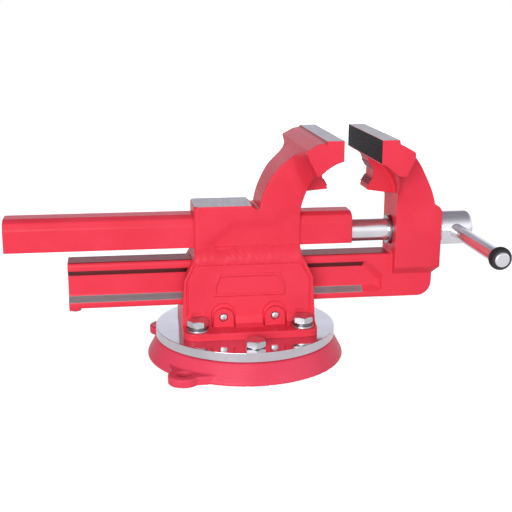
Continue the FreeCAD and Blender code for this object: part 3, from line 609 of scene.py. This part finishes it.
def fixed_painted_shade(n):
    """Painted shade under the anvil's edge and along the strip's rear step."""
    x, _, z = n.place()
    nz = n.facing()[2]
    ease = n.math("MULTIPLY", n.ramp(nz, 0.30, 0.45), n.ramp(nz, 0.85, 0.92, 1, 0))
    anvil = n.math("MULTIPLY", n.window(z, ANVIL_TOP - 2 * MM, ANVIL_TOP + 0.3 * MM), ease)
    anvil = n.math("MULTIPLY", anvil, n.ramp(x, ANVIL_END + MM, ANVIL_END + 2 * MM, 1, 0))
    step_x = fixed_face - STRIP_DEPTH
    step = n.math("MULTIPLY", n.window(x, step_x - 1.7 * MM, step_x + 0.1 * MM),
                  n.ramp(z, jaw_top - 4 * MM, jaw_top - 3 * MM))
    return n.math("MULTIPLY", n.math("MAXIMUM", anvil, step), 0.5)


def rail_painted_shade(n):
    """Painted shade on the rail's top, where the guard above it keeps the light off."""
    x, _, z = n.place()
    nz = n.facing()[2]
    ahead = n.ramp(x, RAIL_SHADED_END, RAIL_SHADED_END + 4 * MM, 1, 0)
    top = n.math("MULTIPLY", n.ramp(z, RAIL_TOP - 0.6 * MM, RAIL_TOP - 0.2 * MM),
                 n.ramp(z, RAIL_TOP + MM, RAIL_TOP + 2 * MM, 1, 0))
    return n.math("MULTIPLY", n.math("MULTIPLY", ahead, top), n.ramp(nz, 0.7, 0.9, 0, 0.75))


def make_forgings():
    fixed = forged("fixed_jaw", "fixed_jaw_forging", 0.7 * MM, 3)
    grind(fixed, 2, jaw_top, TOP_REACH, low=(fixed_face - STRIP_DEPTH - MM, -1, 0))
    grind(fixed, 0, fixed_face - TOOTH_DEPTH, FACE_REACH, low=(0, -1, FACE_LOW))
    grind(fixed, 2, ANVIL_TOP, ANVIL_REACH, high=(ANVIL_END + MM, 1, 1))
    finish_piece(smooth(fixed, 38), "vise",
                 enamel("fixed_jaw_enamel", 150, 0.3, fixed_bare, painted_shade=fixed_painted_shade), "forged_red",
                 "fixed_jaw")

    movable = forged("movable_jaw", "movable_jaw_forging", 0.7 * MM, 3)
    grind(movable, 2, jaw_top, TOP_REACH, high=(movable_face + STRIP_DEPTH + MM, 1, 1))
    grind(movable, 0, movable_face + TOOTH_DEPTH, FACE_REACH, low=(0, -1, FACE_LOW))
    finish_piece(smooth(movable, 38), "jaw",
                 enamel("movable_jaw_enamel", 150, 0.3, movable_bare, painted_shade=rail_painted_shade),
                 "forged_red", "movable_jaw")

    finish_piece(forged("guide_housing", "guide_housing_casting", 0.5 * MM, 3, 0.35), "vise",
                 enamel("housing_enamel", 170, 0.6), "forged_red", "guide_housing")
    finish_piece(forged("spindle_guard", "spindle_guard_bar", 0.8 * MM, 4), "vise",
                 enamel("guard_enamel", 90, 0.35), "forged_red", "spindle_guard")
    finish_piece(forged("swivel_base", "swivel_base_casting", 0.9 * MM, 3), "base",
                 enamel("cast_red_enamel", 380, 1.0, colors=(CAST_RED, CAST_RED_DEEP),
                        grit=0.32 * MM), "cast_red", "swivel_base")
    finish_piece(forged("rail_stop", "rail_stop_block", 0.35 * MM, 3), "jaw",
                 enamel("rail_stop_enamel", 170, 0.4), "forged_red", "rail_stop")


make_forgings()


# --- Weld beads ----------------------------------------------------------------------------------
# Sizes in millimetres.  A crescent leans along the bead from its lower edge to its upper one.
BEAD_ROWS, BEAD_COLUMNS = 210, 22
BEAD_END, BEAD_SINK, BEAD_SWELL = 5, 0.6, 1.0
CRESCENT_PITCH, CRESCENT_HEIGHT = 5.2, 0.34
CRESCENT_LEAN, CRESCENT_BOW, CRESCENT_SHARE = 13.0, 5.0, 0.8
DIP_PLACE, DIP_WIDTH, DIP_DEPTH = -25, 4.5, 2.6


def wander(mm, *waves):
    """Sum of sines, each given by its height, its rate and its start."""
    return sum(height * math.sin(rate * mm + start) for height, rate, start in waves)


def make_weld(side, sign):
    """A bead with overlapping crescents; its edges wander and its ends are rounded."""
    node = f"weld_bead_{side}"
    low, high, _ = span(node)
    outer, inner = max(abs(low.y), abs(high.y)), min(abs(low.y), abs(high.y))
    bm = bmesh.new()
    grid = []
    for i in range(BEAD_ROWS):
        x = low.x + (high.x - low.x) * i / (BEAD_ROWS - 1)
        mm = x / MM
        reach = min(x - low.x, high.x - x) / (BEAD_END * MM)
        end = math.sqrt(max(0.0, 1 - (1 - min(reach, 1)) ** 2))
        bottom = low.z + (0.2 + wander(mm, (0.7, 0.31, 0), (0.45, 0.93, 1))) * MM
        top = high.z + (0.4 + wander(mm, (0.5, 0.19, 2), (0.35, 0.71, 0))) * MM
        top -= DIP_DEPTH * MM * math.exp(-((mm - DIP_PLACE) / DIP_WIDTH) ** 2)
        middle = (bottom + top) / 2
        bottom = middle + (bottom - middle) * (0.55 + 0.45 * end)
        top = middle + (top - middle) * (0.55 + 0.45 * end)
        lively = 0.12 + 0.88 * math.exp(-(mm / 25) ** 6)
        row = []
        for j in range(BEAD_COLUMNS):
            t = j / (BEAD_COLUMNS - 1)
            z = bottom + (top - bottom) * t
            lean = outer + (inner - outer) * (0.05 + 0.95 * t ** 1.6)
            swell = math.sin(math.pi * min(1, t + 0.08)) ** 0.7 if t < 0.92 else 0.0
            bend = (mm + CRESCENT_LEAN * (t - 0.35) + CRESCENT_BOW * (t - 0.5) ** 2
                    + wander(mm, (0.5, 0.4, 0)))
            ripple = (bend / CRESCENT_PITCH) % 1
            crest = (ripple ** 0.6 if ripple < CRESCENT_SHARE
                     else (1 - ripple) / (1 - CRESCENT_SHARE))
            proud = BEAD_SWELL * swell * end + CRESCENT_HEIGHT * lively * crest * swell
            row.append(bm.verts.new((x, sign * (lean + (proud - BEAD_SINK) * MM), z)))
        row += [bm.verts.new((x, sign * (inner - 2.2 * MM), top - 0.3 * MM)),
                bm.verts.new((x, sign * (inner - 0.5 * MM), bottom + 6 * MM)),
                bm.verts.new((x, sign * (outer - 1.5 * MM), bottom + 0.2 * MM))]
        grid.append(row)
    stitch(bm, grid)
    bm.faces.new(grid[0])
    bm.faces.new(list(reversed(grid[-1])))
    obj = from_bmesh(f"weld_{side}", bm, 60)
    finish_piece(obj, "vise", enamel(f"weld_{side}_enamel", 200, 0.6), "weld_red", node)


make_weld("front", FRONT)
make_weld("rear", REAR)


# --- Gripping faces ------------------------------------------------------------------------------
JAW_HALF = 62.2 * MM
FIXED_GRIP_LOW, MOVABLE_GRIP_LOW, GRIP_TOP = 195.2 * MM, 192.3 * MM, 212.9 * MM
# Pyramids of the gripping faces: their pitch, and their tip, root and back along the jaw's normal.
KNURL_PITCH = 1.55 * MM
KNURL_LEVELS = (0.12 * MM, -0.22 * MM, -2.0 * MM)
# Teeth of the pipe jaws: half their length, and their shape as shares of a pitch and heights.
PIPE_HALF = 13.7 * MM
PIPE_TEETH = 4
TOOTH_SHAPE = ((0.02, 0.05 * MM), (0.30, 0.95 * MM), (0.62, 0.95 * MM))
TOOTH_BACK, TOOTH_ROOT = 1.6 * MM, 0.05 * MM

gripped = steel("hardened_black_steel", (0.020, 0.018, 0.020, 1), 0.42, metallic=0.75, fine=900,
                depth=0.25)
# The teeth's roots, where the surface is hollow, get painted shade.
toothed = enamel("teeth_enamel", 300, 0.4, colors=(TOOTH_RED, TOOTH_DARK),
                 painted_shade=lambda n: n.ramp(n.add("NewGeometry").outputs["Pointiness"], 0.42, 0.50,
                                      1, 0))


def knurled_face(name, face, outward, grip_low):
    """Close rows of small pyramids, their tips a hair proud of the jaw's own face."""
    tip, root, back = (face + outward * level for level in KNURL_LEVELS)
    columns = int(2 * JAW_HALF / KNURL_PITCH)
    rows = int((GRIP_TOP - grip_low) / KNURL_PITCH)
    step_y, step_z = 2 * JAW_HALF / columns, (GRIP_TOP - grip_low) / rows
    bm = bmesh.new()
    roots = [[bm.verts.new((root, -JAW_HALF + i * step_y, grip_low + k * step_z))
              for k in range(rows + 1)] for i in range(columns + 1)]
    for i in range(columns):
        for k in range(rows):
            peak = bm.verts.new((tip, -JAW_HALF + (i + 0.5) * step_y,
                                 grip_low + (k + 0.5) * step_z))
            ring = (roots[i][k], roots[i + 1][k], roots[i + 1][k + 1], roots[i][k + 1])
            for a, b in zip(ring, ring[1:] + ring[:1]):
                bm.faces.new((a, b, peak))
    border = ([roots[i][0] for i in range(columns)] + [roots[-1][k] for k in range(rows)]
              + [roots[i][-1] for i in range(columns, 0, -1)]
              + [roots[0][k] for k in range(rows, 0, -1)])
    rear = [bm.verts.new((back, v.co.y, v.co.z)) for v in border]
    for i in range(len(border)):
        j = (i + 1) % len(border)
        bm.faces.new((border[i], border[j], rear[j], rear[i]))
    bm.faces.new(rear)
    return from_bmesh(name, bm, 20)


def serrated(name, start, end, outward):
    """Pipe-jaw teeth: a saw profile between two points of the section, right across the jaw."""
    a, b = Vector(start) * MM, Vector(end) * MM
    normal = Vector(outward).normalized()
    points = [a - normal * TOOTH_BACK]
    points += [a.lerp(b, (i + share) / PIPE_TEETH) + normal * height
               for i in range(PIPE_TEETH) for share, height in TOOTH_SHAPE]
    points += [b + normal * TOOTH_ROOT, b - normal * TOOTH_BACK]
    return prism(name, points, lambda u, v, level: (u, level, v), -PIPE_HALF, PIPE_HALF)


def make_grips():
    finish_piece(knurled_face("fixed_jaw_teeth", fixed_face, 1, FIXED_GRIP_LOW), "vise", gripped,
                 "black_steel")
    finish_piece(knurled_face("movable_jaw_teeth", movable_face, -1, MOVABLE_GRIP_LOW),
                 "jaw", gripped, "black_steel")
    for name, body, start, end, outward in (
            ("fixed_pipe_teeth_low", "vise", (75.2, 164.9), (71.3, 171.3), (0.85, 0.53)),
            ("fixed_pipe_teeth_top", "vise", (72.0, 179.8), (76.0, 187.2), (0.85, -0.53)),
            ("movable_pipe_teeth_low", "jaw", (115.3, 163.9), (119.4, 170.7), (-0.86, 0.51)),
            ("movable_pipe_teeth_top", "jaw", (119.5, 179.7), (115.7, 186.1), (-0.86, -0.51))):
        finish_piece(serrated(name, start, end, outward), body, toothed, "forged_red")


make_grips()


# --- Bright and blackened pieces -----------------------------------------------------------------
polished = steel("turned_plate_steel", (0.70, 0.70, 0.75, 1), 0.10, fine=420, depth=0.03,
                 spread=0.03)
zinc = steel("bright_zinc", (0.66, 0.66, 0.69, 1), 0.32, fine=900, depth=0.12)
# Spring washers darkened to grey as painted shade under the bolt heads.
spring_shade = steel("spring_steel", (0.20, 0.19, 0.20, 1), 0.35, fine=900, depth=0.12)
chrome = steel("polished_chrome", (0.84, 0.84, 0.88, 1), 0.19, metallic=0.88, fine=900,
               depth=0.03, spread=0.03)
black = steel("blackened_steel", (0.035, 0.035, 0.04, 1), 0.45, metallic=0.6, fine=900)
bronze = steel("machined_bronze", (0.60, 0.42, 0.18, 1), 0.28, fine=700)
rubber = steel("ribbed_rubber", (0.016, 0.016, 0.018, 1), 0.55, metallic=0.0, fine=600,
               depth=0.3)


DISC_HEIGHT = 8.7 * MM
SPIGOT_RADIUS, SPIGOT_BORE = 74.9 * MM, 50 * MM
CRISP = 0.4 * MM


def make_plate():
    """The disc with its spigot; a last ring near the axis keeps its top flat."""
    low, high, _ = span("swivel_plate")
    outer, disc_low = high.x, high.z - DISC_HEIGHT
    profile = rounded([(disc_low, SPIGOT_BORE), (low.z, SPIGOT_BORE), (low.z, SPIGOT_RADIUS),
                       (disc_low, SPIGOT_RADIUS), (disc_low, outer), (high.z, outer),
                       (high.z, 10 * MM)], CRISP)
    profile = [(disc_low, 0.0)] + profile + [(high.z, 0.0)]
    obj = lathe("swivel_plate_disc", profile, (0, 0, 0), (0, 0, 1), 192)
    finish_piece(obj, "vise", polished, "plate_steel", "swivel_plate")


make_plate()

HEX_ACROSS, HEX_HEIGHT, BOLT_RADIUS = 17 * MM, 6.4 * MM, 5 * MM
HEX_SLOPE = math.tan(math.radians(30))
HEX_POINTS = 96
COIL_POINTS, COIL_RISE = 72, 0.5 * MM
COIL_START, COIL_TURN = 104, 352
PIN_END, PIN_GROOVE = 3.4 * MM, 0.35 * MM


def hex_bolt(name, centre, low, high, tip, corner_turn):
    """Hexagon bolt: washer face, chamfered crown with a shallow dish, and its plain shank."""
    apothem = HEX_ACROSS / 2
    crown, face = apothem * 0.975, apothem * 0.97
    dish = high - 0.25 * MM

    def hexagon(turn):
        return apothem / math.cos((turn - corner_turn) % (math.pi / 3) - math.pi / 6)

    def fixed(radius):
        return lambda turn: radius

    levels = [
        (fixed(BOLT_RADIUS), lambda r: tip), (fixed(BOLT_RADIUS), lambda r: low),
        (fixed(face), lambda r: low), (fixed(face), lambda r: low + 0.3 * MM),
        (hexagon, lambda r: low + 0.4 * MM + max(0, r - apothem) * HEX_SLOPE),
        (hexagon, lambda r: high - (r - crown) * HEX_SLOPE), (fixed(crown), lambda r: high),
        (fixed(crown * 0.86), lambda r: dish), (fixed(crown * 0.4), lambda r: dish)]
    bm = bmesh.new()
    rings = []
    for radius, level in levels:
        ring = []
        for i in range(HEX_POINTS):
            turn = 2 * math.pi * i / HEX_POINTS
            r = radius(turn)
            ring.append(bm.verts.new((centre.x + r * math.cos(turn),
                                      centre.y + r * math.sin(turn), level(r))))
        rings.append(ring)
    stitch(bm, rings)
    bm.faces.new(rings[-1])
    bm.faces.new(rings[0])
    return from_bmesh(name, bm, 25)


def split_washer(name, centre, inner, outer, low, high):
    """Spring washer: a square coil of almost one turn, its two ends sprung apart."""
    bm = bmesh.new()
    rings = []
    for i in range(COIL_POINTS + 1):
        share = i / COIL_POINTS
        turn = math.radians(COIL_START + COIL_TURN * share)
        lift = COIL_RISE * (share - 0.5)
        ring = []
        for radius, level in ((inner, low), (outer, low), (outer, high), (inner, high)):
            base = max(low, min(high, level + lift))
            ring.append(bm.verts.new((centre.x + radius * math.cos(turn),
                                      centre.y + radius * math.sin(turn), base)))
        rings.append(ring)
    stitch(bm, rings)
    bm.faces.new(rings[0])
    bm.faces.new(rings[-1])
    return from_bmesh(name, bm, 35)


def make_fasteners():
    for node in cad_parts:
        low, high, mid = span(node)
        if node.startswith(("foot_bolt", "lock_bolt")):
            body = {"lock_bolt_front": "lock_front",
                    "lock_bolt_rear": "lock_rear"}.get(node, "vise")
            turn = 0 if node.endswith("left") else math.pi / 6
            obj = hex_bolt(f"{node}_hexagon", mid, high.z - HEX_HEIGHT, high.z, low.z, turn)
            finish_piece(obj, body, zinc, "zinc_steel", node)
        elif node.startswith("flat_washer"):
            outer = high.x - mid.x
            profile = rounded([(low.z, BOLT_RADIUS), (low.z, outer), (high.z, outer),
                               (high.z, BOLT_RADIUS)], CRISP)
            obj = lathe(f"{node}_disc", profile, (mid.x, mid.y, 0), (0, 0, 1))
            finish_piece(obj, "vise", zinc, "zinc_steel", node)
        elif node.startswith("spring_washer"):
            obj = split_washer(f"{node}_coil", mid, BOLT_RADIUS, high.x - mid.x, low.z, high.z)
            finish_piece(obj, "vise", spring_shade, "zinc_steel", node)
        elif node.startswith("cross_pin"):
            radius, length = high.x - mid.x, high.y - low.y
            neck = radius - PIN_GROOVE
            half = [(0, 0.3 * radius), (0.25 * MM, neck * 0.8), (0.9 * MM, neck),
                    (PIN_END, neck), (PIN_END, radius)]
            profile = rounded(mirrored(half, length), 0.3 * MM)
            profile = [(0, 0)] + profile + [(length, 0)]
            obj = lathe(f"{node}_rod", profile, (mid.x, low.y, mid.z), (0, 1, 0), 48)
            finish_piece(obj, "vise", zinc, "zinc_steel", node)


make_fasteners()


# --- Spindle, its rings and the handle -----------------------------------------------------------
THREAD_PITCH, THREAD_DEPTH, THREAD_END = 5 * MM, 2.2 * MM, 28 * MM
# Shares of the pitch that a crest and each flank of the thread take up.
CREST, FLANK = 0.34, 0.14
SHANK, SHANK_CHAMFER, RING_GROOVE = 10.75 * MM, 1.6 * MM, 9.6 * MM
HEAD_LENGTH = 33 * MM
HANDLE_HOLE, BORE_REACH = 6.85 * MM, 30 * MM
BUSH_BORE, BUSH_SHELL, BUSH_LIP = 10.83 * MM, 14 * MM, 0.8 * MM
RIBS, RIB_DEPTH = 52, 0.45 * MM


def thread_rule(x, run_out):
    """Radius of a trapezoidal thread at one station, as a rule over the angle."""
    depth = THREAD_DEPTH * run_out

    def radius(turn):
        phase = (x / THREAD_PITCH - turn / (2 * math.pi)) % 1
        if phase < CREST:
            return SHANK
        if phase < CREST + FLANK:
            return SHANK - depth * (phase - CREST) / FLANK
        if phase < 1 - FLANK:
            return SHANK - depth
        return SHANK - depth * (1 - phase) / FLANK
    return radius


def make_spindle():
    """The screw with its real thread, joined to its head with the handle's bore."""
    low, high, mid = span("spindle")
    head = high.y - mid.y
    head_low = high.x - HEAD_LENGTH
    ring_low, ring_high, _ = span("retaining_ring")
    handle = span("handle_bar")[2]
    thread_low = low.x + SHANK_CHAMFER
    profile = [(low.x, 0), (low.x, SHANK - SHANK_CHAMFER)]
    steps = int((THREAD_END - thread_low) / (THREAD_PITCH / 8))
    for i in range(steps + 1):
        x = thread_low + (THREAD_END - thread_low) * i / steps
        run_out = min(1.0, (THREAD_END - x) / (4 * MM))
        profile.append((x, thread_rule(x, run_out)))
    profile += [(THREAD_END + MM, SHANK), (ring_low.x, SHANK), (ring_low.x, RING_GROOVE),
                (ring_high.x, RING_GROOVE), (ring_high.x, SHANK), (head_low + MM, SHANK),
                (head_low + MM, 0)]
    screw = lathe("screw", profile, (0, 0, mid.z), (1, 0, 0), 96)
    shape = rounded([(head_low, 0.0), (head_low, head - 1.4 * MM), (head_low + 1.4 * MM, head),
                     (high.x - 3.4 * MM, head), (high.x - 0.6 * MM, head - 1.8 * MM),
                     (high.x, head - 4.5 * MM), (high.x, 0.0)], 1.2 * MM)
    knob = lathe("head", shape, (0, 0, mid.z), (1, 0, 0), 128)
    tool = lathe("tool", [(0, 0), (0, HANDLE_HOLE), (2 * BORE_REACH, HANDLE_HOLE),
                          (2 * BORE_REACH, 0)], (handle.x, -BORE_REACH, mid.z), (0, 1, 0), 64)
    knob = bore_out(knob, tool)
    finish_piece(join("spindle_screw", screw, knob), "screw", chrome, "chrome_steel", "spindle")


def make_rings():
    ring_bright = steel("ring_steel", (0.42, 0.41, 0.43, 1), 0.25, fine=900)
    for node, inner, material, slot, body in (
            ("spindle_bush", BUSH_BORE, ring_bright, "black_steel", "jaw"),
            ("retaining_ring", RING_GROOVE, ring_bright, "black_steel", "screw"),
            ("thrust_washer", SHANK, chrome, "chrome_steel", "screw")):
        low, high, mid = span(node)
        outer = high.y - mid.y
        points = [(low.x, inner), (low.x, outer), (high.x, outer), (high.x, inner)]
        if node == "spindle_bush":
            lip = low.x + BUSH_LIP
            points = [(low.x, inner), (low.x, outer), (lip, outer), (lip, BUSH_SHELL),
                      (high.x, BUSH_SHELL), (high.x, inner)]
        obj = lathe(f"{node}_ring", rounded(points, 0.3 * MM), (0, 0, mid.z), (1, 0, 0))
        finish_piece(obj, body, material, slot, node)


def ribbed(radius):
    """Radius of a rubber ring's ribs, as a rule over the angle."""
    return lambda turn: radius - RIB_DEPTH * (0.5 - 0.5 * math.cos(RIBS * turn))


def make_handle():
    low, high, mid = span("handle_bar")
    radius, length = high.x - mid.x, high.y - low.y
    ease = 1.1 * MM
    half = [(0, 0.3 * radius), (0, radius - ease), (ease, radius)]
    shape = rounded(mirrored(half, length), 0.5 * MM)
    obj = lathe("handle_bar_rod", [(0, 0)] + shape + [(length, 0)], (mid.x, low.y, mid.z),
                (0, 1, 0), 64)
    finish_piece(obj, "handle", chrome, "chrome_steel", "handle_bar")
    for side in ("front", "rear"):
        low, high, mid = span(f"handle_ring_{side}")
        outer, length = high.x - mid.x, high.y - low.y
        half = [(0, radius), (0, outer * 0.84), (0.12 * length, ribbed(outer * 0.93)),
                (0.3 * length, ribbed(outer * 0.985))]
        ring = lathe(f"handle_ring_{side}_rubber",
                     mirrored(half, length, (0.5 * length, ribbed(outer))),
                     (mid.x, low.y, mid.z), (0, 1, 0), RIBS * 4, 50)
        finish_piece(ring, "handle", rubber, "black_rubber", f"handle_ring_{side}")


make_spindle()
make_rings()
make_handle()


# --- CAD nodes that stay as they are -------------------------------------------------------------
for node, material in (("gib_strip", bronze), ("spindle_nut", bronze),
                       ("rail_stop_screw", black), ("clamp_shoe_front", black),
                       ("clamp_shoe_rear", black)):
    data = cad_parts[node].data
    data.materials.clear()
    data.materials.append(material)
